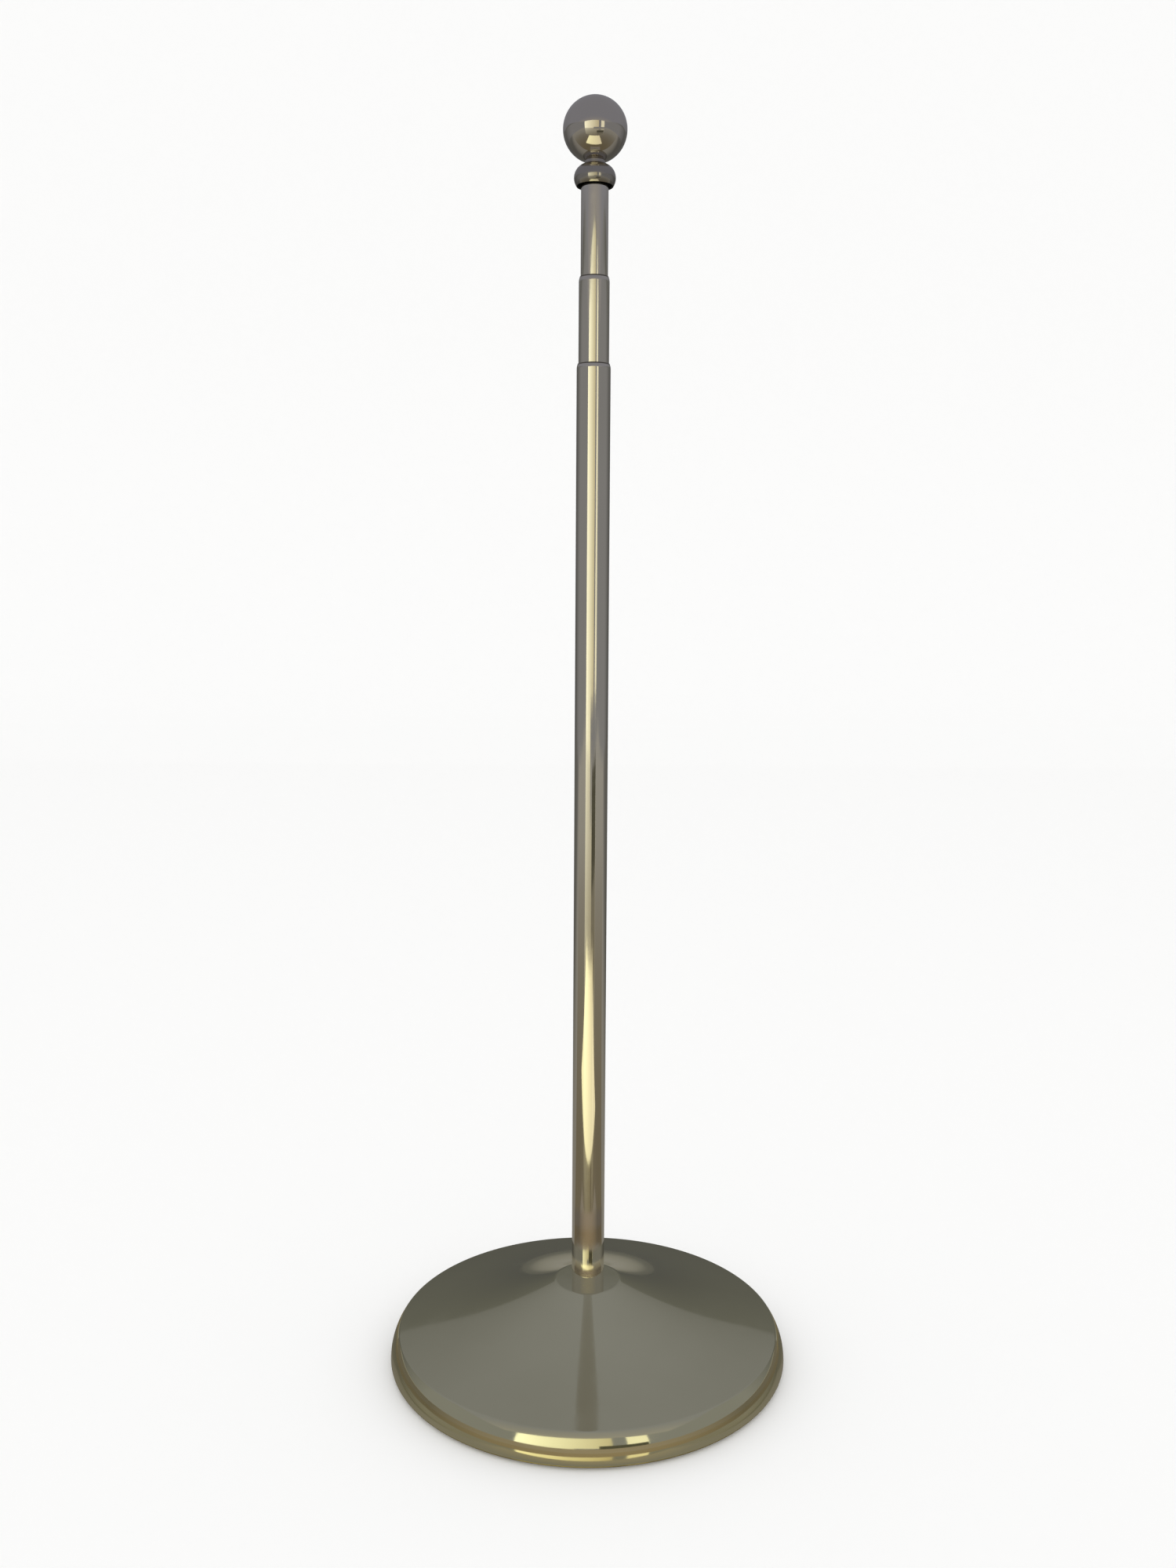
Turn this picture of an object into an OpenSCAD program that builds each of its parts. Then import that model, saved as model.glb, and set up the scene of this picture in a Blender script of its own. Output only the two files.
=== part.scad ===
// Telescopic indoor flagpole: a weighted round stand with a spun cover, three
// polished tubes that slide into each other, and a ball finial on a bell cap.
// Millimetres, +Z up, origin on the floor at the middle of the stand.

/* [Stand] */
// Diameter over the rim of the cover
base_d = 387.6; // [300:0.2:470]
// Gap between the floor and the lowest point of the rim
rim_lift = 0.8; // [0.2:0.1:3]
// Radius of the curl under the rim
rim_curl_r = 6; // [3:0.1:8]
// Radius of the rim's outer face, seen in section
rim_face_r = 42; // [24:0.5:60]
// How far that face leans in, in degrees, where it meets the crown
rim_face_deg = 35; // [24:0.5:44]
// Radius of the rim's crown
rim_crown_r = 1.8; // [1.4:0.1:12]
// Angle at which the crown ends in the crease round the cover
rim_crown_deg = 72; // [60:0.5:78]
// Slope of the even band of the cover inside the crease, in degrees
cone_deg = 11; // [6:0.1:16]
// Width of that even band
even_w = 29; // [10:1:60]
// Height of the flat top of the neck
neck_z = 77; // [70:1:130]
// Diameter of the cover at the foot of the neck's shoulder
neck_d = 67.4; // [56:0.2:90]
// Radius of the neck's rounded shoulder
neck_round = 6; // [3:0.1:10]
// Slope of the cover just below the shoulder, in degrees
neck_deg = 25; // [20:0.5:36]
// Thickness of the cover's metal
cover_t = 1.2; // [0.8:0.1:2.5]

/* [Ballast] */
// Gap between the rim's curl and the cast weight
weight_gap = 21; // [4:0.5:40]
// Thickness of the weight's disc
weight_t = 14; // [8:0.5:20]
// Diameter of the weight's middle boss
boss_d = 74; // [50:1:100]
// Height of the boss above the disc
boss_h = 12; // [4:0.5:20]
// Thickness of the pad under the weight
pad_t = 2; // [1:0.5:4]
// How far the pad's edge lies inside the weight's
pad_inset = 5; // [0:0.5:20]
// Diameter of the spacer tube inside the neck
spacer_d = 40; // [30:0.5:56]

/* [Tie bolt] */
// Diameter of the bolt that ties the pole to the weight
bolt_d = 12; // [8:1:16]
// Width of the bolt's head across its flats
bolt_head_af = 19; // [13:1:24]
// Height of the bolt's head
bolt_head_h = 7.5; // [5:0.5:10]
// Diameter of the washer
washer_d = 28; // [22:1:34]
// Thickness of the washer
washer_t = 2.5; // [1.5:0.5:4]
// Length of thread in the pole's foot plug
bolt_grip = 26; // [12:1:36]

/* [Tubes] */
// Outer diameter of the lower tube
lower_d = 31.8; // [26:0.1:42]
// Wall of every tube
tube_t = 0.8; // [0.6:0.02:1.2]
// Room for glides and guides between a tube's bore and the tube inside it
glide_room = 0.8; // [0.8:0.05:1.5]
// Height of the lower tube's mouth
lower_top_z = 965; // [780:1:1300]
// Length of middle tube that shows when the pole is pushed together
middle_show = 79; // [40:1:160]
// Length of upper tube that shows when the pole is pushed together
upper_show = 81; // [40:1:160]
// Length over which a tube's mouth is drawn in
swage_h = 5; // [3:0.5:9]
// Thickness of metal left at the mouth's edge
lip_t = 0.3; // [0.2:0.05:0.5]
// Length of the straight bore inside the drawn-in mouth
lip_h = 2; // [1:0.5:3]

/* [Glides and plugs] */
// Length of the glide sleeve on the foot of each sliding tube
glide_l = 110; // [60:1:140]
// Length of the guide ring inside each tube's mouth
guide_l = 40; // [20:1:60]
// Length of the plug in the lower tube's foot
foot_plug_l = 40; // [30:1:60]
// Length of the plug in the middle tube's foot
middle_plug_l = 60; // [20:1:80]
// Thickness of the rubber buffers that the sliding tubes come down on
buffer_t = 4; // [2:0.5:8]
// Length of the plug in the upper tube's head
head_plug_l = 30; // [20:1:50]

/* [Finial] */
// Diameter of the ball
ball_d = 59.2; // [40:0.2:80]
// Wall of the ball
ball_t = 1.2; // [0.8:0.1:2]
// Gap between the upper tube and the bell's open end
bell_gap = 2.9; // [1:0.1:6]
// How much further out the bell is at its widest place than at its open end
bell_flare = 2.3; // [1:0.1:4]
// Height of the bell from its open end to its widest place
bell_skirt_h = 7.5; // [5:0.5:14]
// Radius of the bell's shoulder
bell_round = 12.5; // [10.4:0.1:16]
// How far the neck that the ball sits on is set in from the bell's widest place
bell_neck_in = 9.7; // [8:0.1:10]
// Fillet between the shoulder and that neck
bell_fillet = 0.7; // [0.3:0.1:1.5]
// Straight height of that neck
bell_neck_h = 2.3; // [1:0.1:10]
// Thickness of the bell's skirt
bell_t = 1.4; // [1:0.1:2]
// How far the upper tube goes up past the bell's widest place
bell_cover = 1.5; // [0:0.5:4]
// Diameter of the stud between plug, bell and ball
stud_d = 8; // [6:1:10]
// Length of stud in the head plug, and again in the ball
stud_grip = 16; // [8:1:20]

/* [Fits] */
// Gap round what is pressed or screwed into its seat
seat_gap = 0.05; // [0.02:0.01:0.1]
// Running gap between a sliding tube and what guides it
slide_gap = 0.3; // [0.2:0.05:0.4]
// Gap round the bolt and the stud where they pass freely
pass_gap = 0.5; // [0.3:0.1:1]

/* [Hidden] */
$fn = 96;
FINE = 0.01;

base_r = base_d / 2;
curl_r = base_r - rim_curl_r;
curl_z = rim_lift + rim_curl_r;
face_r = base_r - rim_face_r;
crown_r = face_r + (rim_face_r - rim_crown_r) * cos(rim_face_deg);
crown_z = curl_z + (rim_face_r - rim_crown_r) * sin(rim_face_deg);
edge_r = crown_r + rim_crown_r * cos(rim_crown_deg);
edge_z = crown_z + rim_crown_r * sin(rim_crown_deg);
neck_r = neck_d / 2;
shoulder_r = neck_r - neck_round * sin(neck_deg);
shoulder_z = neck_z - neck_round * (1 - cos(neck_deg));
flare_r = edge_r - even_w;
flare_w = flare_r - neck_r;
flare_h = shoulder_z - edge_z - tan(cone_deg) * (edge_r - neck_r);
flare_power = (tan(neck_deg) - tan(cone_deg)) * flare_w / flare_h;

weight_r = curl_r - rim_curl_r - weight_gap;
pad_r = weight_r - pad_inset;
weight_z = pad_t;
disc_top_z = weight_z + weight_t;
boss_top_z = disc_top_z + boss_h;
recess_d = washer_d + 4;
recess_top_z = weight_z + washer_t + bolt_head_h + 2;
washer_z = recess_top_z - washer_t;
head_z = washer_z - bolt_head_h;

lower_r = lower_d / 2;
middle_r = lower_r - tube_t - glide_room;
upper_r = middle_r - tube_t - glide_room;
foot_z = neck_z;
foot_stop_z = foot_z + foot_plug_l + buffer_t;
middle_foot_z = foot_stop_z + slide_gap;
middle_top_z = lower_top_z + middle_show;
middle_stop_z = middle_foot_z + middle_plug_l + buffer_t;
upper_foot_z = middle_stop_z + slide_gap;
bell_z = middle_top_z + upper_show;

bell_mouth_r = upper_r + bell_gap + bell_t;
bell_r = bell_mouth_r + bell_flare;
bell_wide_z = bell_z + bell_skirt_h;
upper_top_z = bell_wide_z + bell_cover;
bell_round_r = bell_r - bell_round;
bell_neck_r = bell_r - bell_neck_in;
fillet_r = bell_neck_r + bell_fillet;
fillet_deg = acos((fillet_r - bell_round_r) / (bell_round + bell_fillet));
fillet_z = bell_wide_z + (bell_round + bell_fillet) * sin(fillet_deg);
bell_top_z = fillet_z + bell_neck_h;
ball_r = ball_d / 2;
ball_z = bell_top_z + sqrt(ball_r * ball_r - bell_neck_r * bell_neck_r);
ball_boss_r = bell_neck_r - ball_t;

// Points on an arc about [x, z], from angle a0 to angle a1
function arc(x, z, r, a0, a1, n = 16) =
  [for (i = [0:n]) let (a = a0 + (a1 - a0) * i / n) [x + r * cos(a), z + r * sin(a)]];

// Height of the cover at radius r: an even slope, and inside flare_r a power
// curve on top of it that meets the neck's shoulder without a corner
function cover_z(r) =
  edge_z + tan(cone_deg) * (edge_r - r)
  + flare_h * pow(max(0, flare_r - r) / flare_w, flare_power);

// Angle of that slope at radius r
function cover_deg(r) =
  atan(tan(cone_deg) + flare_h * flare_power / flare_w
       * pow(max(0, flare_r - r) / flare_w, flare_power - 1));

// The point t below the cover's surface, square to it, at radius r
function cover_point(r, t) =
  [r - t * sin(cover_deg(r)), cover_z(r) - t * cos(cover_deg(r))];

// The cover's line from the neck's flat top to the curl under the rim,
// for a surface that lies t inside the outer one
function cover_line(t) = concat(
  arc(shoulder_r, neck_z - neck_round, neck_round - t, 90, 90 - neck_deg, 6),
  [for (i = [1:27]) cover_point(neck_r + (edge_r - neck_r) * i / 28, t)],
  [cover_point(edge_r, t)],
  arc(crown_r, crown_z, rim_crown_r - t, rim_crown_deg - 1, rim_face_deg, 8),
  arc(face_r, curl_z, rim_face_r - t, rim_face_deg, 0, 10),
  arc(curl_r, curl_z, rim_curl_r - t, -10, -160, 14)
);

module ring(d_out, d_in, h) {
  difference() {
    cylinder(d = d_out, h = h);
    translate([0, 0, -1]) cylinder(d = d_in, h = h + 2);
  }
}

// Spun cover: neck, flare and rolled rim in one sheet, with a hole for the bolt
module base_cover() {
  bore_r = bolt_d / 2 + pass_gap;
  outer = cover_line(0);
  inner = cover_line(cover_t);
  color([0.50, 0.49, 0.43])
    rotate_extrude()
      polygon(concat(
        [[bore_r, neck_z - cover_t], [bore_r, neck_z]],
        outer,
        [for (i = [len(inner) - 1:-1:0]) inner[i]]
      ));
}

// Cast iron disc with a boss, recessed below for the bolt's head
module base_weight() {
  color([0.16, 0.16, 0.17])
    difference() {
      union() {
        translate([0, 0, weight_z]) cylinder(r = weight_r, h = weight_t);
        translate([0, 0, weight_z]) cylinder(d = boss_d, h = weight_t + boss_h);
      }
      translate([0, 0, weight_z - 1]) cylinder(d = recess_d, h = recess_top_z - weight_z + 1);
      cylinder(d = bolt_d + 2 * pass_gap, h = boss_top_z + 1);
    }
}

// Rubber sheet that the stand rests on
module base_pad() {
  color([0.07, 0.07, 0.07]) ring(2 * pad_r, recess_d + 6, pad_t);
}

module tie_bolt() {
  color([0.66, 0.66, 0.64]) {
    translate([0, 0, head_z])
      cylinder(d = bolt_head_af / cos(30), h = bolt_head_h, $fn = 6);
    translate([0, 0, washer_z - FINE])
      cylinder(d = bolt_d, h = foot_z + bolt_grip - washer_z + FINE);
  }
}

module tie_washer() {
  color([0.70, 0.70, 0.68])
    translate([0, 0, washer_z]) ring(washer_d, bolt_d + 2 * pass_gap, washer_t);
}

// Steel tube between the weight and the underside of the neck
module neck_spacer() {
  color([0.45, 0.45, 0.46])
    translate([0, 0, boss_top_z])
      ring(spacer_d, bolt_d + 2 * pass_gap, neck_z - cover_t - boss_top_z);
}

// A tube standing on z, with its mouth drawn in on an arc to just clear the next tube
module tube(r, z, top_z, inner_r) {
  mouth_r = inner_r + slide_gap;
  drop = r - mouth_r - lip_t;
  swage_r = (drop * drop + swage_h * swage_h) / (2 * drop);
  swage_deg = asin(swage_h / swage_r);
  rotate_extrude()
    polygon(concat(
      [[r - tube_t, z], [r, z]],
      arc(r - swage_r, top_z - swage_h, swage_r, 0, swage_deg, 10),
      [[mouth_r, top_z], [mouth_r, top_z - lip_h], [r - tube_t, top_z - swage_h]]
    ));
}

// Sleeve of slippery plastic on the outside of a sliding tube's foot
module glide(r, outer_bore_r, z) {
  translate([0, 0, z])
    ring(2 * (outer_bore_r - slide_gap), 2 * (r + seat_gap), glide_l);
}

// Plastic guide ring inside a tube's mouth, just below where it is drawn in
module guide(bore_r, inner_r, top_z) {
  translate([0, 0, top_z - swage_h - 1 - guide_l])
    ring(2 * (bore_r - seat_gap), 2 * (inner_r + slide_gap), guide_l);
}

module foot_plug() {
  color([0.72, 0.72, 0.70])
    translate([0, 0, foot_z])
      difference() {
        cylinder(r = lower_r - tube_t - seat_gap, h = foot_plug_l);
        translate([0, 0, -1])
          cylinder(r = bolt_d / 2 + seat_gap, h = bolt_grip + 3);
      }
}

module foot_buffer() {
  color([0.10, 0.10, 0.10])
    translate([0, 0, foot_z + foot_plug_l])
      cylinder(r = lower_r - tube_t - slide_gap, h = buffer_t);
}

module lower_tube() {
  color([0.62, 0.60, 0.55]) tube(lower_r, foot_z, lower_top_z, middle_r);
}

module lower_guide() {
  color([0.08, 0.08, 0.08]) guide(lower_r - tube_t, middle_r, lower_top_z);
}

module middle_tube() {
  color([0.62, 0.60, 0.55]) tube(middle_r, middle_foot_z, middle_top_z, upper_r);
}

module middle_glide() {
  color([0.85, 0.85, 0.82]) glide(middle_r, lower_r - tube_t, middle_foot_z);
}

module middle_plug() {
  color([0.08, 0.08, 0.08])
    translate([0, 0, middle_foot_z])
      cylinder(r = middle_r - tube_t - seat_gap, h = middle_plug_l);
}

module middle_buffer() {
  color([0.10, 0.10, 0.10])
    translate([0, 0, middle_foot_z + middle_plug_l])
      cylinder(r = middle_r - tube_t - slide_gap, h = buffer_t);
}

module middle_guide() {
  color([0.08, 0.08, 0.08]) guide(middle_r - tube_t, upper_r, middle_top_z);
}

module upper_tube() {
  color([0.62, 0.60, 0.55])
    translate([0, 0, upper_foot_z])
      ring(2 * upper_r, 2 * (upper_r - tube_t), upper_top_z - upper_foot_z);
}

module upper_glide() {
  color([0.85, 0.85, 0.82]) glide(upper_r, middle_r - tube_t, upper_foot_z);
}

// Plug in the upper tube's head, tapped for the stud
module head_plug() {
  color([0.72, 0.72, 0.70])
    translate([0, 0, upper_top_z - head_plug_l])
      difference() {
        cylinder(r = upper_r - tube_t - seat_gap, h = head_plug_l);
        translate([0, 0, head_plug_l - stud_grip - 2])
          cylinder(r = stud_d / 2 + seat_gap, h = stud_grip + 3);
      }
}

module finial_stud() {
  color([0.66, 0.66, 0.64])
    translate([0, 0, upper_top_z - stud_grip])
      cylinder(d = stud_d, h = bell_top_z - upper_top_z + 2 * stud_grip);
}

// Bell cap: open skirt, round shoulder and a short neck for the ball
module finial_bell() {
  taper = bell_r - bell_mouth_r;
  skirt_r = (taper * taper + bell_skirt_h * bell_skirt_h) / (2 * taper);
  skirt_deg = asin(bell_skirt_h / skirt_r);
  seat_deg = asin(bell_cover / (bell_round - bell_t));
  pass_r = stud_d / 2 + pass_gap;
  color([0.55, 0.53, 0.47])
    rotate_extrude()
      polygon(concat(
        [[pass_r, upper_top_z], [pass_r, bell_top_z], [bell_neck_r, bell_top_z]],
        arc(fillet_r, fillet_z, bell_fillet, 180, 180 + fillet_deg, 6),
        arc(bell_round_r, bell_wide_z, bell_round, fillet_deg - 2, 0, 14),
        arc(bell_r - skirt_r, bell_wide_z, skirt_r, -2, -skirt_deg, 8),
        arc(bell_r - skirt_r, bell_wide_z, skirt_r - bell_t, -skirt_deg, -2, 8),
        arc(bell_round_r, bell_wide_z, bell_round - bell_t, 0, seat_deg, 4)
      ));
}

// Hollow ball on a tapped boss, flat where it sits on the bell's neck
module finial_ball() {
  color([0.50, 0.49, 0.47])
    difference() {
      intersection() {
        translate([0, 0, ball_z])
          union() {
            difference() {
              sphere(r = ball_r);
              sphere(r = ball_r - ball_t);
            }
            translate([0, 0, -ball_r + FINE]) cylinder(r = ball_boss_r, h = stud_grip + 6);
          }
        translate([0, 0, bell_top_z]) cylinder(r = ball_r + 1, h = 2 * ball_r);
      }
      translate([0, 0, bell_top_z - 1])
        cylinder(r = stud_d / 2 + seat_gap, h = stud_grip + 2);
    }
}

base_cover();
base_weight();
base_pad();
tie_bolt();
tie_washer();
neck_spacer();
foot_plug();
foot_buffer();
lower_tube();
lower_guide();
middle_tube();
middle_glide();
middle_plug();
middle_buffer();
middle_guide();
upper_tube();
upper_glide();
head_plug();
finial_stud();
finial_bell();
finial_ball();
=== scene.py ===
import math

import bmesh
import bpy
import numpy as np
from mathutils import Matrix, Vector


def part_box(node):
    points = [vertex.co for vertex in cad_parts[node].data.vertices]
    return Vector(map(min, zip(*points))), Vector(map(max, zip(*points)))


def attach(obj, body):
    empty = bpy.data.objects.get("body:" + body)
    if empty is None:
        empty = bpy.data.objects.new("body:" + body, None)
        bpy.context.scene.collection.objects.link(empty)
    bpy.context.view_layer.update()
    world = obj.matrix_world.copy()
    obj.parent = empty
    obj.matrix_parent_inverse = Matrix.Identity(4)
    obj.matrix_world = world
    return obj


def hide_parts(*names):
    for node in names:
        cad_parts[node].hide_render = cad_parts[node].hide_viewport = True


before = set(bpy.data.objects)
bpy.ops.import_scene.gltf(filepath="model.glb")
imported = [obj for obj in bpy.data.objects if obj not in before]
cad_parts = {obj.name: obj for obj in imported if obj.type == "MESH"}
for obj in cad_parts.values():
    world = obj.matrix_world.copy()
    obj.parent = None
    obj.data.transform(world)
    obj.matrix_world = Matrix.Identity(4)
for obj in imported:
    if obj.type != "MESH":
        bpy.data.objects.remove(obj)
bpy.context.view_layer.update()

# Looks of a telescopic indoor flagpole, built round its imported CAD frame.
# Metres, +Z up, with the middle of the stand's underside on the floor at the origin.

# ---------------------------------------------------------------- stand cover
# One disc of sheet metal spun over a former: flat neck top, flared slope, a
# crease, and a rim that rolls down to the floor and curls under. It is buffed
# and plated in a pale champagne tone, and the tie bolt clamps it at the neck.

MM = 0.001
cover_low, cover_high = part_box("base_cover")
rim_r = cover_high.x
rim_bottom = cover_low.z
neck_top = cover_high.z
cover_wall = 1.2 * MM
curl_r = 6 * MM
curl_end = math.radians(-160)
face_r = 42 * MM
face_lean = math.radians(35)
crown_r = 1.8 * MM
crown_lean = math.radians(72)
cone_slope = math.tan(math.radians(11))
even_band = 29 * MM
neck_foot_r = 33.7 * MM
neck_round = 6 * MM
neck_lean = math.radians(25)
bolt_hole_r = 6.5 * MM

curl_mid_r = rim_r - curl_r
curl_mid_z = rim_bottom + curl_r
face_mid_r = rim_r - face_r
crown_mid_r = face_mid_r + (face_r - crown_r) * math.cos(face_lean)
crown_mid_z = curl_mid_z + (face_r - crown_r) * math.sin(face_lean)
crease_r = crown_mid_r + crown_r * math.cos(crown_lean)
crease_z = crown_mid_z + crown_r * math.sin(crown_lean)
shoulder_r = neck_foot_r - neck_round * math.sin(neck_lean)
shoulder_z = neck_top - neck_round * (1 - math.cos(neck_lean))
flare_r = crease_r - even_band
flare_w = flare_r - neck_foot_r
flare_h = shoulder_z - crease_z - cone_slope * (crease_r - neck_foot_r)
flare_power = (math.tan(neck_lean) - cone_slope) * flare_w / flare_h


def arc(mid_r, mid_z, radius, start, end, steps):
    """Points of an arc: the centre plus the radius times cosine and sine of evenly spaced angles."""
    angle = np.linspace(start, end, steps)
    return np.column_stack([mid_r + radius * np.cos(angle), mid_z + radius * np.sin(angle)])


def slope_line(depth, steps):
    """The cover between neck and crease, moved in by depth along its normal.

    Height is the crease's height, plus an even slope times the way in from the
    crease, plus a power of the way in from the even band's inner edge.
    """
    r = np.linspace(neck_foot_r, crease_r, steps)[1:]
    share = np.clip((flare_r - r) / flare_w, 0, None)
    z = crease_z + cone_slope * (crease_r - r) + flare_h * share**flare_power
    tilt = np.arctan(cone_slope + flare_h * flare_power / flare_w * share ** (flare_power - 1))
    return np.column_stack([r - depth * np.sin(tilt), z - depth * np.cos(tilt)])


def cover_line(depth, slope_steps):
    """Neck shoulder, slope, crown, face and curl in one line, moved in by depth."""
    straight_up = math.pi / 2
    shoulder_mid_z = neck_top - neck_round
    return np.vstack(
        [
            arc(shoulder_r, shoulder_mid_z, neck_round - depth, straight_up, straight_up - neck_lean, 14),
            slope_line(depth, slope_steps),
            arc(crown_mid_r, crown_mid_z, crown_r - depth, crown_lean - 0.02, face_lean, 14),
            arc(face_mid_r, curl_mid_z, face_r - depth, face_lean, 0, 30)[1:],
            arc(curl_mid_r, curl_mid_z, curl_r - depth, -0.1, curl_end, 22),
        ]
    )


def crisp(outline, sharp=0.3, hold=0.08 * MM):
    """Holds the corners of a closed outline, so that smooth shading bends only close to them.

    Where the outline turns by more than sharp (radians), the point becomes three:
    itself, and one a short way back along each of its two sides.
    """
    back = np.roll(outline, 1, axis=0) - outline
    ahead = np.roll(outline, -1, axis=0) - outline
    back_len = np.linalg.norm(back, axis=1, keepdims=True)
    ahead_len = np.linalg.norm(ahead, axis=1, keepdims=True)
    turn = np.pi - np.arccos(np.clip(np.sum(back * ahead, axis=1) / (back_len * ahead_len)[:, 0], -1, 1))
    near = outline + back / back_len * np.minimum(hold, back_len / 3)
    far = outline + ahead / ahead_len * np.minimum(hold, ahead_len / 3)
    triples = np.stack([near, outline, far], axis=1).reshape(-1, 2)
    corner = turn > sharp
    return triples[np.column_stack([corner, np.ones(len(outline), bool), corner]).reshape(-1)]


def lathe(name, outline, around=256):
    """A closed outline of (radius, height) points turned about Z.

    Vertex (i, j) lies at the outline's radius i, turned by j parts of a full
    turn, at the outline's height i. Both directions close on themselves. An
    outline that touches the axis keeps only its line from pole to pole, and
    the ring at each pole is welded to a single point.
    """
    touch = 1e-9
    r, z = np.asarray(outline).T
    if np.sum(r * np.roll(z, -1) - np.roll(r, -1) * z) > 0:
        r, z = r[::-1], z[::-1]
    has_poles = r.min() < touch
    if has_poles:
        off_axis = np.flatnonzero(r > touch)
        pole_to_pole = slice(off_axis[0] - 1, off_axis[-1] + 2)
        r, z = r[pole_to_pole], z[pole_to_pole]
    bands = len(r) - 1 if has_poles else len(r)
    turn = 2 * np.pi * np.arange(around) / around
    across, along = np.outer(r, np.cos(turn)), np.outer(r, np.sin(turn))
    co = np.stack([across, along, np.outer(z, np.ones(around))], axis=-1)
    i, j = np.meshgrid(np.arange(bands), np.arange(around), indexing="ij")
    i2, j2 = (i + 1) % len(r), (j + 1) % around
    quads = np.stack([i * around + j, i2 * around + j, i2 * around + j2, i * around + j2], axis=-1)
    mesh = bpy.data.meshes.new(name)
    mesh.from_pydata(co.reshape(-1, 3).tolist(), [], quads.reshape(-1, 4).tolist())
    if has_poles:
        weld = bmesh.new()
        weld.from_mesh(mesh)
        bmesh.ops.remove_doubles(weld, verts=weld.verts, dist=1e-7)
        weld.to_mesh(mesh)
        weld.free()
    mesh.polygons.foreach_set("use_smooth", np.ones(len(mesh.polygons), bool))
    mesh.update()
    piece = bpy.data.objects.new(name, mesh)
    bpy.context.scene.collection.objects.link(piece)
    return piece


def new_finish(name, metallic=0.0):
    """An empty finish: the material, its tree, its shader and the object's own coordinates."""
    material = bpy.data.materials.new(name)
    material.use_nodes = True
    shader = material.node_tree.nodes["Principled BSDF"]
    shader.inputs["Metallic"].default_value = metallic
    place = material.node_tree.nodes.new("ShaderNodeTexCoord").outputs["Object"]
    return material, material.node_tree, shader, place


def noise(tree, place, scale, detail=3, rough=0.5, stretch=(1, 1, 1)):
    """Noise on the object's own coordinates, stretched along the axes."""
    mapping = tree.nodes.new("ShaderNodeMapping")
    mapping.inputs["Scale"].default_value = stretch
    tree.links.new(place, mapping.inputs["Vector"])
    made = tree.nodes.new("ShaderNodeTexNoise")
    made.inputs["Scale"].default_value = scale
    made.inputs["Detail"].default_value = detail
    made.inputs["Roughness"].default_value = rough
    tree.links.new(mapping.outputs["Vector"], made.inputs["Vector"])
    return made.outputs["Fac"]


def blend_tones(tree, factor, low, high, dark, light):
    """A ramp from dark, where the factor is low, to light, where it is high."""
    ramp = tree.nodes.new("ShaderNodeValToRGB")
    ramp.color_ramp.elements[0].position = low
    ramp.color_ramp.elements[0].color = (*dark, 1)
    ramp.color_ramp.elements[1].position = high
    ramp.color_ramp.elements[1].color = (*light, 1)
    tree.links.new(factor, ramp.inputs["Fac"])
    return ramp.outputs["Color"]


def between(tree, factor, low, high, out_low, out_high):
    """The factor carried from the range low..high to out_low..out_high."""
    made = tree.nodes.new("ShaderNodeMapRange")
    made.inputs["From Min"].default_value = low
    made.inputs["From Max"].default_value = high
    made.inputs["To Min"].default_value = out_low
    made.inputs["To Max"].default_value = out_high
    tree.links.new(factor, made.inputs["Value"])
    return made.outputs["Result"]


def relief(tree, shader, height, strength, depth):
    """Bump of the given depth in metres."""
    bump = tree.nodes.new("ShaderNodeBump")
    bump.inputs["Strength"].default_value = strength
    bump.inputs["Distance"].default_value = depth
    tree.links.new(height, bump.inputs["Height"])
    tree.links.new(bump.outputs["Normal"], shader.inputs["Normal"])


def polished_plate(name, tone, shade, grain, haze=0.05):
    """Buffed and plated metal.

    The colour drifts between two close tones in soft clouds, wiped smudges
    dull the gloss, and fine buffing lines run across the direction that grain
    stretches least.
    """
    material, tree, shader, place = new_finish(name, metallic=1.0)
    clouds = noise(tree, place, 7, 3)
    tree.links.new(blend_tones(tree, clouds, 0.3, 0.72, shade, tone), shader.inputs["Base Color"])
    smudges = between(tree, noise(tree, place, 38, 5, 0.62), 0.45, 0.8, haze, haze + 0.08)
    lines = noise(tree, place, 1, 2, 0.5, grain)
    gloss = tree.nodes.new("ShaderNodeMath")
    gloss.operation = "MULTIPLY_ADD"
    gloss.inputs[1].default_value = 0.025
    tree.links.new(lines, gloss.inputs[0])
    tree.links.new(smudges, gloss.inputs[2])
    tree.links.new(gloss.outputs["Value"], shader.inputs["Roughness"])
    relief(tree, shader, lines, 0.02, 0.05 * MM)
    return material


bolt_hole = [[bolt_hole_r, neck_top - cover_wall], [bolt_hole_r, neck_top], [shoulder_r - 0.5 * MM, neck_top]]
cover_outline = np.vstack([bolt_hole, cover_line(0, 120), cover_line(cover_wall, 60)[::-1]])
cover = lathe("stand_cover", crisp(cover_outline))
# Its tone is yellower than the tubes' plate: the extra yellow is painted light, standing in for the warm
# reflections on the cover.
cover.data.materials.append(
    polished_plate("champagne_plate_spun_painted_warm", (0.79, 0.77, 0.55), (0.73, 0.71, 0.5), (30, 30, 900))
)
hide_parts("base_cover")
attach(cover, "stand")

# ------------------------------------------------------------ ballast and pad
# A round grey-iron casting, painted black, fills the cover and keeps the pole
# upright. A disc of fine-ribbed rubber is glued under it to spare the floor.


def painted_casting():
    """Black paint over a sand-cast skin: grainy relief, chalky where the grains stand proud."""
    material, tree, shader, place = new_finish("black_painted_iron")
    grains = noise(tree, place, 420, 4, 0.6)
    patches = noise(tree, place, 14, 4)
    tree.links.new(
        blend_tones(tree, patches, 0.35, 0.75, (0.018, 0.018, 0.02), (0.045, 0.043, 0.042)),
        shader.inputs["Base Color"],
    )
    tree.links.new(between(tree, grains, 0.3, 0.7, 0.42, 0.72), shader.inputs["Roughness"])
    relief(tree, shader, grains, 0.5, 0.4 * MM)
    return material


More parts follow.
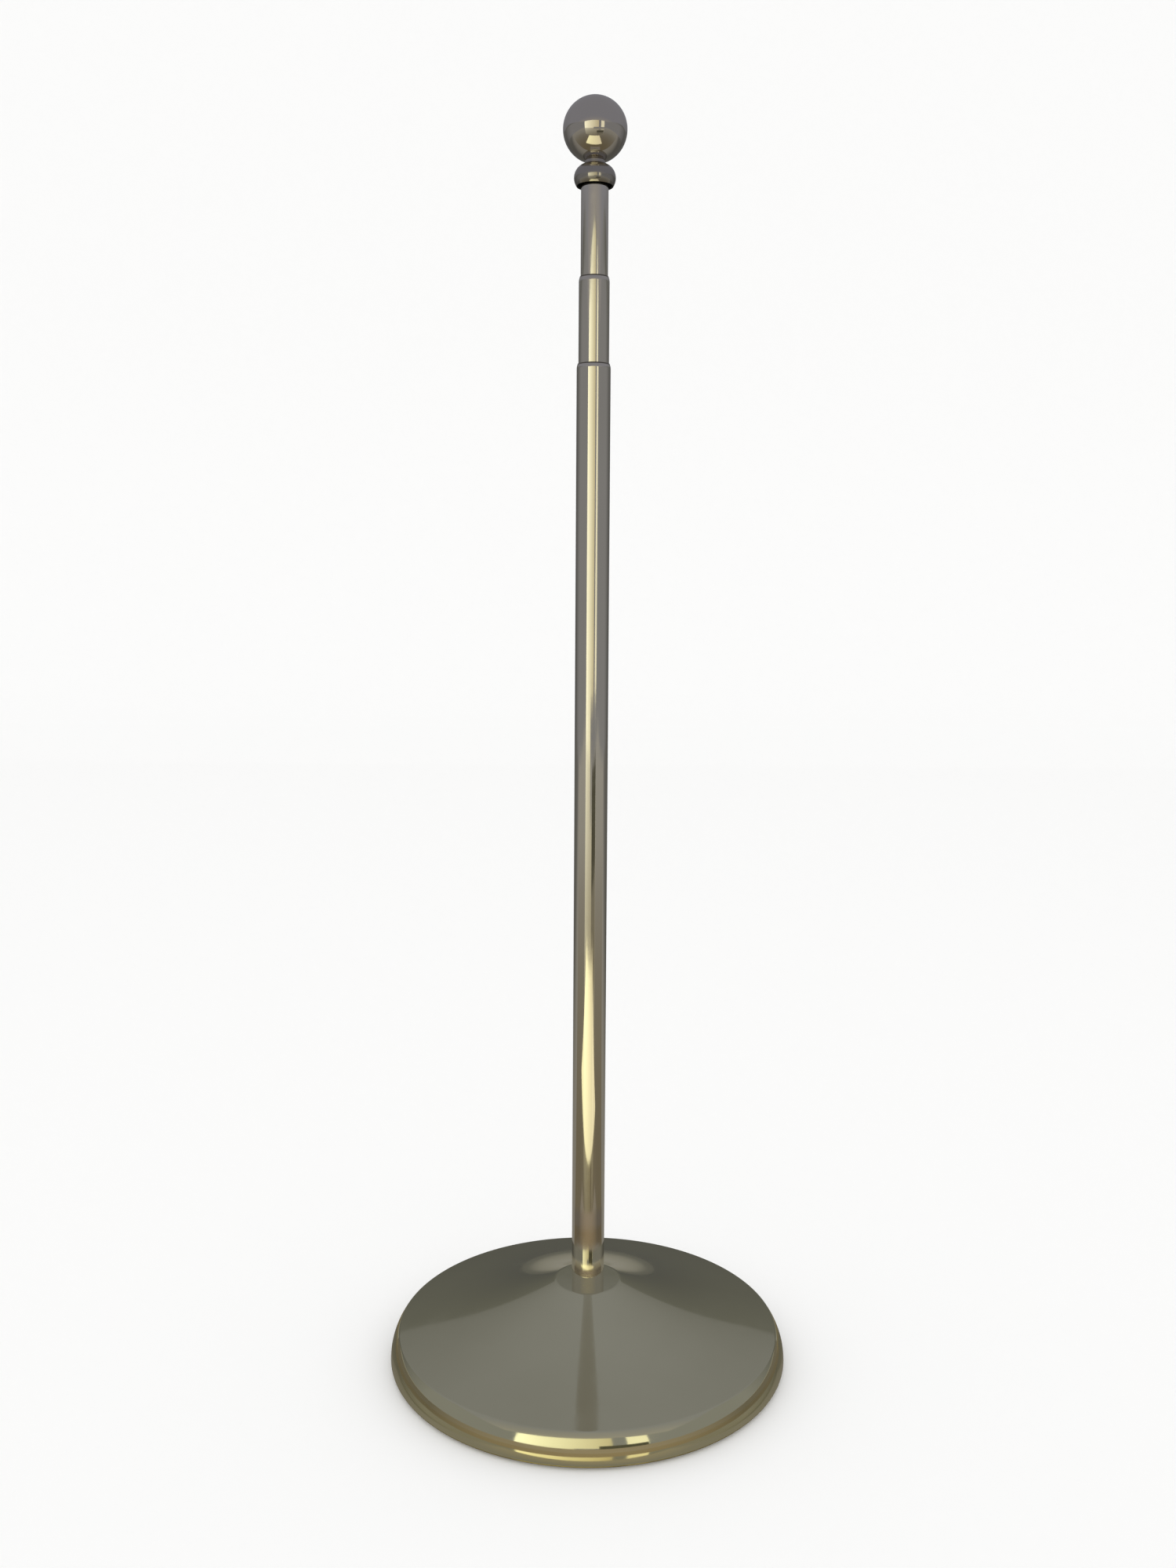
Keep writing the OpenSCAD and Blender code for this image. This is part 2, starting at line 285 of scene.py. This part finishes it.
def ribbed_rubber():
    """Black rubber with fine rings pressed round the middle, greyed by floor dust."""
    material, tree, shader, place = new_finish("ribbed_rubber")
    rings = tree.nodes.new("ShaderNodeTexWave")
    rings.wave_type = "RINGS"
    rings.rings_direction = "Z"
    rings.inputs["Scale"].default_value = 60
    rings.inputs["Distortion"].default_value = 0
    tree.links.new(place, rings.inputs["Vector"])
    dust = noise(tree, place, 22, 5, 0.6)
    tree.links.new(
        blend_tones(tree, dust, 0.4, 0.85, (0.014, 0.014, 0.014), (0.06, 0.057, 0.052)),
        shader.inputs["Base Color"],
    )
    tree.links.new(between(tree, dust, 0.3, 0.8, 0.62, 0.86), shader.inputs["Roughness"])
    relief(tree, shader, rings.outputs["Fac"], 0.6, 0.5 * MM)
    return material


def dress(node, material):
    """Gives a CAD node its finish."""
    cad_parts[node].data.materials.clear()
    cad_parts[node].data.materials.append(material)


dress("base_weight", painted_casting())
dress("base_pad", ribbed_rubber())

# ------------------------------------------------------------------ fastenings
# Zinc-plated steel: one bolt comes up through washer, casting, spacer and
# cover into the tube's foot plug. The stud that holds the finial is the same.


def zinc_plate():
    """Dull silver plating with faint bluish and straw patches and light scratches."""
    material, tree, shader, place = new_finish("zinc_plated_steel", metallic=1.0)
    bloom = noise(tree, place, 90, 4, 0.55)
    scratches = noise(tree, place, 1, 3, 0.6, (300, 2600, 300))
    tree.links.new(
        blend_tones(tree, bloom, 0.35, 0.7, (0.5, 0.52, 0.55), (0.68, 0.66, 0.58)),
        shader.inputs["Base Color"],
    )
    tree.links.new(between(tree, scratches, 0.3, 0.7, 0.26, 0.46), shader.inputs["Roughness"])
    relief(tree, shader, scratches, 0.15, 0.03 * MM)
    return material


zinc = zinc_plate()
for node in ("tie_bolt", "tie_washer", "neck_spacer", "finial_stud"):
    dress(node, zinc)

# ---------------------------------------------------------- plugs and buffers
# Bright turned aluminium plugs close the lower tube's foot and the upper
# tube's head. Small rubber discs on the stops take the knock of a dropped tube.


def turned_metal():
    """Aluminium with the tool's fine feed lines round it."""
    material, tree, shader, place = new_finish("turned_aluminium", metallic=1.0)
    feed = noise(tree, place, 1, 2, 0.5, (60, 60, 5200))
    stain = noise(tree, place, 55, 4)
    tree.links.new(
        blend_tones(tree, stain, 0.3, 0.75, (0.62, 0.62, 0.61), (0.78, 0.78, 0.77)),
        shader.inputs["Base Color"],
    )
    tree.links.new(between(tree, feed, 0.3, 0.7, 0.22, 0.42), shader.inputs["Roughness"])
    relief(tree, shader, feed, 0.25, 0.04 * MM)
    return material


def moulded_rubber():
    """Plain black rubber, faintly pitted, with a dusty bloom."""
    material, tree, shader, place = new_finish("buffer_rubber")
    pits = noise(tree, place, 900, 3)
    bloom = noise(tree, place, 120, 4)
    tree.links.new(
        blend_tones(tree, bloom, 0.35, 0.8, (0.018, 0.018, 0.018), (0.05, 0.05, 0.048)),
        shader.inputs["Base Color"],
    )
    tree.links.new(between(tree, bloom, 0.3, 0.8, 0.55, 0.8), shader.inputs["Roughness"])
    relief(tree, shader, pits, 0.3, 0.08 * MM)
    return material


aluminium = turned_metal()
buffer_rubber = moulded_rubber()
dress("foot_plug", aluminium)
dress("head_plug", aluminium)
dress("foot_buffer", buffer_rubber)
dress("middle_buffer", buffer_rubber)

# ---------------------------------------------------------- glides and guides
# Moulded nylon: white glides on the feet of the two sliding tubes, and black
# guide rings and a plug inside the tubes that carry them.


def moulded_nylon(name, dark, light):
    """Nylon with a soft spark-eroded grain, polished where the tube rubs up and down it."""
    material, tree, shader, place = new_finish(name)
    grain = noise(tree, place, 1500, 2)
    rubbed = noise(tree, place, 1, 3, 0.55, (700, 700, 18))
    tree.links.new(blend_tones(tree, rubbed, 0.3, 0.75, dark, light), shader.inputs["Base Color"])
    tree.links.new(between(tree, rubbed, 0.3, 0.75, 0.32, 0.6), shader.inputs["Roughness"])
    shader.inputs["Subsurface Weight"].default_value = 0.0
    relief(tree, shader, grain, 0.25, 0.05 * MM)
    return material


white_nylon = moulded_nylon("white_nylon", (0.66, 0.65, 0.6), (0.8, 0.8, 0.77))
black_nylon = moulded_nylon("black_nylon", (0.014, 0.014, 0.015), (0.04, 0.04, 0.041))
for node in ("middle_glide", "upper_glide"):
    dress(node, white_nylon)
for node in ("lower_guide", "middle_guide", "middle_plug"):
    dress(node, black_nylon)

# ---------------------------------------------------------------- three tubes
# Drawn steel tubes, plated to match the cover. Each mouth is drawn in over a
# few millimetres until it just clears the next tube, which slides up out of it.

tube_wall = 0.8 * MM
swage_h = 5 * MM
lip_t = 0.3 * MM
lip_h = 2 * MM
running_gap = 0.3 * MM


def drawn_mouth(radius, top, mouth_r):
    """From the outer wall over the drawn-in mouth and its thin lip to the inner wall.

    The draw is an arc that leaves the wall upright and has moved in by its drop
    at the top, so its radius is (drop squared + height squared) / (2 drop).
    """
    drop = radius - mouth_r - lip_t
    sweep_r = (drop**2 + swage_h**2) / (2 * drop)
    outside = arc(radius - sweep_r, top - swage_h, sweep_r, 0, math.asin(swage_h / sweep_r), 16)
    inside = [[mouth_r, top], [mouth_r, top - lip_h], [radius - tube_wall, top - swage_h]]
    return np.vstack([outside, inside])


def tint_faces(piece, material, chosen):
    """Gives the faces picked by chosen (centres, normals -> true or false) a second finish."""
    faces = piece.data.polygons
    centres, normals = np.empty(3 * len(faces)), np.empty(3 * len(faces))
    faces.foreach_get("center", centres)
    faces.foreach_get("normal", normals)
    piece.data.materials.append(material)
    picked = chosen(centres.reshape(-1, 3), normals.reshape(-1, 3))
    faces.foreach_set("material_index", picked.astype(np.int32))


# The top band of each tube's mouth gets a darker plate: painted shade, standing in for the shadowed gap where
# the next tube slides out.
mouth_shade_band = 1.3 * MM
drawn_lines = (600, 600, 8)
tube_plate = polished_plate("champagne_plate_drawn", (0.73, 0.695, 0.62), (0.69, 0.655, 0.58), drawn_lines)
mouth_painted_shade = polished_plate("painted_shade_mouth", (0.3, 0.27, 0.22), (0.16, 0.14, 0.11), drawn_lines, 0.16)
sliding_tubes = {"lower_tube": "stand", "middle_tube": "middle_stage", "upper_tube": "upper_stage"}
next_tube = {"lower_tube": "middle_tube", "middle_tube": "upper_tube"}
for node, body in sliding_tubes.items():
    low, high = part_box(node)
    if node in next_tube:
        head = drawn_mouth(high.x, high.z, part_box(next_tube[node])[1].x + running_gap)
    else:
        head = np.array([[high.x, high.z], [high.x - tube_wall, high.z]])
    foot = np.array([[high.x - tube_wall, low.z], [high.x, low.z]])
    tube = lathe(node + "_plated", crisp(np.vstack([foot, head])), 128)
    tube.data.materials.append(tube_plate)
    tint_faces(tube, mouth_painted_shade, lambda centre, normal: centre[:, 2] > high.z - mouth_shade_band)
    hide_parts(node)
    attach(tube, body)

# --------------------------------------------------------------------- finial
# A turned bell cap with an open skirt, and a ball of spun sheet seated on its
# neck. Both screw onto one stud in the upper tube's head plug.

bell_low, bell_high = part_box("finial_bell")
bell_r = bell_high.x
bell_mouth_z = bell_low.z
bell_top = bell_high.z
skirt_taper = 2.3 * MM
skirt_h = 7.5 * MM
bell_round = 12.5 * MM
neck_in = 9.7 * MM
neck_fillet = 0.7 * MM
bell_wall = 1.4 * MM
bell_cover = 1.5 * MM
stud_r = 4 * MM

widest_z = bell_mouth_z + skirt_h
round_mid_r = bell_r - bell_round
bell_neck_r = bell_r - neck_in
fillet_mid_r = bell_neck_r + neck_fillet
fillet_turn = math.acos((fillet_mid_r - round_mid_r) / (bell_round + neck_fillet))
fillet_mid_z = widest_z + (bell_round + neck_fillet) * math.sin(fillet_turn)
skirt_r = (skirt_taper**2 + skirt_h**2) / (2 * skirt_taper)
skirt_turn = math.asin(skirt_h / skirt_r)
seat_turn = math.asin(bell_cover / (bell_round - bell_wall))

bell_outline = np.vstack(
    [
        [[stud_r, widest_z + bell_cover], [stud_r, bell_top], [bell_neck_r, bell_top]],
        arc(fillet_mid_r, fillet_mid_z, neck_fillet, math.pi, math.pi + fillet_turn, 10),
        arc(round_mid_r, widest_z, bell_round, fillet_turn - 0.03, 0, 28),
        arc(bell_r - skirt_r, widest_z, skirt_r, -0.02, -skirt_turn, 16),
        arc(bell_r - skirt_r, widest_z, skirt_r - bell_wall, -skirt_turn, -0.02, 12),
        arc(round_mid_r, widest_z, bell_round - bell_wall, 0, seat_turn, 6),
    ]
)


def bell_inside_black():
    """Matt black with a fine speckle, for the faces inside the bell."""
    material, tree, shader, place = new_finish("matt_black_bell_inside")
    speckle = noise(tree, place, 1100, 3, 0.6)
    tree.links.new(
        blend_tones(tree, speckle, 0.35, 0.8, (0.006, 0.006, 0.006), (0.025, 0.024, 0.023)),
        shader.inputs["Base Color"],
    )
    tree.links.new(between(tree, speckle, 0.3, 0.8, 0.6, 0.85), shader.inputs["Roughness"])
    relief(tree, shader, speckle, 0.3, 0.05 * MM)
    return material


finial_plate = polished_plate(
    "champagne_plate_turned", (0.63, 0.59, 0.535), (0.585, 0.55, 0.495), (40, 40, 700)
)
# The bell's plate is darker in tone than the ball's and the tubes': painted shade, standing in for the ball's
# shadow over it. Its higher haze dulls the gloss.
bell_plate_painted_shade = polished_plate(
    "champagne_plate_dull_painted_shade", (0.45, 0.425, 0.385), (0.38, 0.355, 0.32), (40, 40, 1500), 0.1
)
bell = lathe("finial_bell_plated", crisp(bell_outline), 160)
bell.data.materials.append(bell_plate_painted_shade)
tint_faces(
    bell, bell_inside_black(), lambda centre, normal: np.sum(centre[:, :2] * normal[:, :2], axis=1) < 0
)
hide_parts("finial_bell")
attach(bell, "upper_stage")

ball_low, ball_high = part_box("finial_ball")
ball_r = ball_high.x
ball_mid_z = ball_high.z - ball_r
seat_latitude = -math.asin((ball_mid_z - ball_low.z) / ball_r)
latitude = np.linspace(seat_latitude, math.pi / 2, 120)
ball_outline = np.column_stack([ball_r * np.cos(latitude), ball_mid_z + ball_r * np.sin(latitude)])
ball_outline[-1, 0] = 0
ball = lathe("finial_ball_plated", crisp(np.vstack([[[0, ball_low.z]], ball_outline]), sharp=0.6), 192)
ball.data.materials.append(finial_plate)
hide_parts("finial_ball")
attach(ball, "upper_stage")

# ---------------------------------------------------------------- paper sweep
# A roll of matt white background paper, laid flat over the floor under the
# stand and curved up behind it. The metal is lit as if it were not there.

sweep_back = 7.0
sweep_round = 3.0
sweep_front = -12.0
sweep_top = 14.0
sweep_half = 16.0
bend = np.linspace(0, math.pi / 2, 40)
sweep_y = np.concatenate([[sweep_front], sweep_back + sweep_round * np.sin(bend), [sweep_back + sweep_round]])
sweep_z = np.concatenate([[0], sweep_round * (1 - np.cos(bend)), [sweep_top]])
sides = np.array([-sweep_half, sweep_half])
sweep_points = np.stack(
    [np.tile(sides, len(sweep_y)), np.repeat(sweep_y, 2), np.repeat(sweep_z, 2)], axis=-1
)
row = np.arange(len(sweep_y) - 1) * 2
sweep_mesh = bpy.data.meshes.new("paper_sweep")
sweep_quads = np.column_stack([row, row + 1, row + 3, row + 2])
sweep_mesh.from_pydata(sweep_points.tolist(), [], sweep_quads.tolist())
sweep_mesh.polygons.foreach_set("use_smooth", np.ones(len(row), bool))
paper, _, paper_shader, _ = new_finish("white_paper")
paper_shader.inputs["Base Color"].default_value = (0.9, 0.9, 0.895, 1)
paper_shader.inputs["Roughness"].default_value = 0.9
paper_shader.inputs["Specular IOR Level"].default_value = 0.1
paper_shader.inputs["Emission Color"].default_value = (1, 1, 1, 1)
paper_shader.inputs["Emission Strength"].default_value = 0.08
sweep_mesh.materials.append(paper)
sweep = bpy.data.objects.new("paper_sweep", sweep_mesh)
bpy.context.scene.collection.objects.link(sweep)
sweep.visible_glossy = False

# ---------------------------------------------------------------- studio room
# The plain room that the polished metal mirrors: white ceiling, grey walls, a
# wide window behind the camera with a second, narrow pane, and a waxed floor.

room_side = 5.5
room_front = -5.6
room_back = 5.0
room_top = 2.6
soffit = 2.34


def wall_panel(name, corners, first, last, axis, low, high, gloss=None, mirror=None):
    """A flat panel that only mirrors see, glowing softly.

    Its glow runs from the first tone to the last as the chosen coordinate (or
    the distance from the pole, for R) runs from low to high. With gloss it
    shines, and with a mirror colour it is metal.
    """
    mesh = bpy.data.meshes.new(name)
    mesh.from_pydata(corners, [], [(0, 1, 2, 3)])
    panel = bpy.data.objects.new(name, mesh)
    bpy.context.scene.collection.objects.link(panel)
    material, tree, shader, place = new_finish(name)
    if axis == "R":
        measure = tree.nodes.new("ShaderNodeVectorMath")
        measure.operation = "LENGTH"
        tree.links.new(place, measure.inputs[0])
        way = measure.outputs["Value"]
    else:
        measure = tree.nodes.new("ShaderNodeSeparateXYZ")
        tree.links.new(place, measure.inputs["Vector"])
        way = measure.outputs[axis]
    tone = blend_tones(tree, between(tree, way, low, high, 0, 1), 0, 1, first, last)
    tree.links.new(tone, shader.inputs["Emission Color"])
    shader.inputs["Emission Strength"].default_value = 1
    shader.inputs["Base Color"].default_value = (*(mirror or (0, 0, 0)), 1)
    shader.inputs["Metallic"].default_value = 1.0 if mirror else 0.0
    shader.inputs["Specular IOR Level"].default_value = 0.0 if gloss is None else 1.0
    shader.inputs["Roughness"].default_value = 1.0 if gloss is None else gloss
    mesh.materials.append(material)
    for kind in ("camera", "diffuse", "shadow", "transmission", "volume_scatter"):
        setattr(panel, "visible_" + kind, False)


def upright(x0, y0, x1, y1, z0, z1):
    """Corners of an upright panel over the line from (x0, y0) to (x1, y1)."""
    return [(x0, y0, z0), (x1, y1, z0), (x1, y1, z1), (x0, y0, z1)]


def level(x0, y0, x1, y1, z):
    """Corners of a level panel."""
    return [(x0, y0, z), (x1, y0, z), (x1, y1, z), (x0, y1, z)]


wall_grey = (0.262, 0.262, 0.272)
shade_grey = (0.12, 0.12, 0.12)
wall_panel(
    "ceiling_back", level(-room_side, 0, room_side, room_back, room_top),
    (0.27, 0.272, 0.31), (0.2, 0.2, 0.215), "Y", 0.5, room_back,
)
wall_panel(
    "ceiling_front", level(-room_side, room_front, room_side, 0, room_top),
    (0.36, 0.34, 0.33), (0.27, 0.272, 0.31), "Y", room_front, -2.5,
)
wall_panel(
    "front_wall", upright(-room_side, room_front, room_side, room_front, 0, room_top),
    wall_grey, wall_grey, "Z", 0, room_top,
)
for side in (-room_side, room_side):
    wall_panel(
        "side_wall", upright(side, room_front, side, room_back, 0, soffit),
        wall_grey, shade_grey, "Y", 0.5, room_back,
    )
    wall_panel(
        "side_soffit", upright(side, room_front, side, room_back, soffit, room_top),
        wall_grey, (0.15, 0.15, 0.14), "Y", -1.5, 1.5,
    )
wall_panel(
    "back_wall", upright(-room_side, room_back, room_side, room_back, 0, room_top),
    (0.1, 0.1, 0.1), (0.15, 0.15, 0.15), "Z", 0, room_top,
)

window_y = room_front + 0.05
window_foot = 0.3
window_head = 2.53
window_light = (1.5, 1.46, 1.1)
window_shade = (0.71, 0.63, 0.41)
wall_panel(
    "window", upright(-4.25, window_y, 1.3, window_y, window_foot, window_head),
    window_light, window_shade, "X", -4.0, 1.2,
)
wall_panel(
    "open_door", upright(-4.25, window_y, -0.6, window_y, 0, window_foot),
    window_light, window_shade, "X", -4.0, 1.2,
)
wall_panel(
    "narrow_pane", upright(2.12, window_y, 3.5, window_y, window_foot, window_head),
    (1.1, 1.04, 0.78), (1.1, 1.04, 0.78), "Z", 0, room_top,
)
wall_panel(
    "waxed_floor", level(-room_side, room_front, room_side, 0.1, 0),
    (0.145, 0.118, 0.064), (0.235, 0.222, 0.188), "R", 0.6, 3.2, gloss=0.1,
)
wall_panel(
    "shaded_floor", level(-room_side, 0.1, room_side, room_back, 0),
    (0.24, 0.228, 0.2), (0.09, 0.088, 0.08), "Y", 0.35, 1.2, gloss=0.3,
)
wall_panel(
    "sunlit_patch", level(-0.72, -1.55, 0.5, -0.5, 0.002),
    (1.35, 1.28, 0.76), (1.0, 0.9, 0.58), "X", -0.6, 0.4, gloss=0.2,
)

wall_panel(
    "low_bench", upright(0.25, -2.3, 1.4, -2.3, 0, 0.33),
    (0.09, 0.085, 0.06), (0.09, 0.085, 0.06), "Z", 0, 1,
)

# A polished tray round the stand shows its rim the window a second time.
tray_r = 0.305
tray_lip = 0.022
tray_sides = 16
tray_sweep = math.radians(220)
wall_panel(
    "tray", level(-tray_r, -tray_r, tray_r, 0.06, 0.001),
    (0.01, 0.01, 0.01), (0.01, 0.01, 0.01), "R", 0, 1, gloss=0.06, mirror=(0.86, 0.78, 0.58),
)
for part in range(tray_sides):
    turn = tray_sweep * (np.array([part, part + 1]) / tray_sides - 0.5) + math.pi
    (x0, x1), (y0, y1) = tray_r * np.sin(turn), tray_r * np.cos(turn)
    wall_panel(
        "tray_lip", upright(x0, y0, x1, y1, 0, tray_lip),
        (0.34, 0.28, 0.21), (0.165, 0.145, 0.12), "Y", -tray_r, -0.12,
    )

# White light from all round, for the paper and for all that isn't polished.
air = bpy.data.worlds.new("studio_air")
bpy.context.scene.world = air
air.use_nodes = True
soft_light = air.node_tree.nodes["Background"]
soft_light.inputs["Color"].default_value = (1, 1, 1, 1)
soft_light.inputs["Strength"].default_value = 1.0

# --------------------------------------------------------------------- camera
# A camera held upright in front of the pole, at a little over half its height,
# looking slightly down, with the whole stand and ball in its frame.

eye = (0, -1.332, 0.7459)
pitch = 0.09693
roll = 0.0065
look = np.array([0, math.cos(pitch), -math.sin(pitch)])
level_up = np.array([0, math.sin(pitch), math.cos(pitch)])
level_right = np.array([1.0, 0, 0])
right = math.cos(roll) * level_right + math.sin(roll) * level_up
up = -math.sin(roll) * level_right + math.cos(roll) * level_up
camera_data = bpy.data.cameras.new("camera")
camera_data.sensor_width = 36
camera_data.lens = 32.17
camera_data.shift_x = -0.0021
camera_data.shift_y = -0.0301
camera = bpy.data.objects.new("camera", camera_data)
camera_place = np.vstack([np.column_stack([right, up, -look, eye]), [0, 0, 0, 1]])
camera.matrix_world = Matrix(camera_place.tolist())
bpy.context.scene.collection.objects.link(camera)
bpy.context.scene.camera = camera
bpy.context.scene.view_settings.view_transform = "Standard"
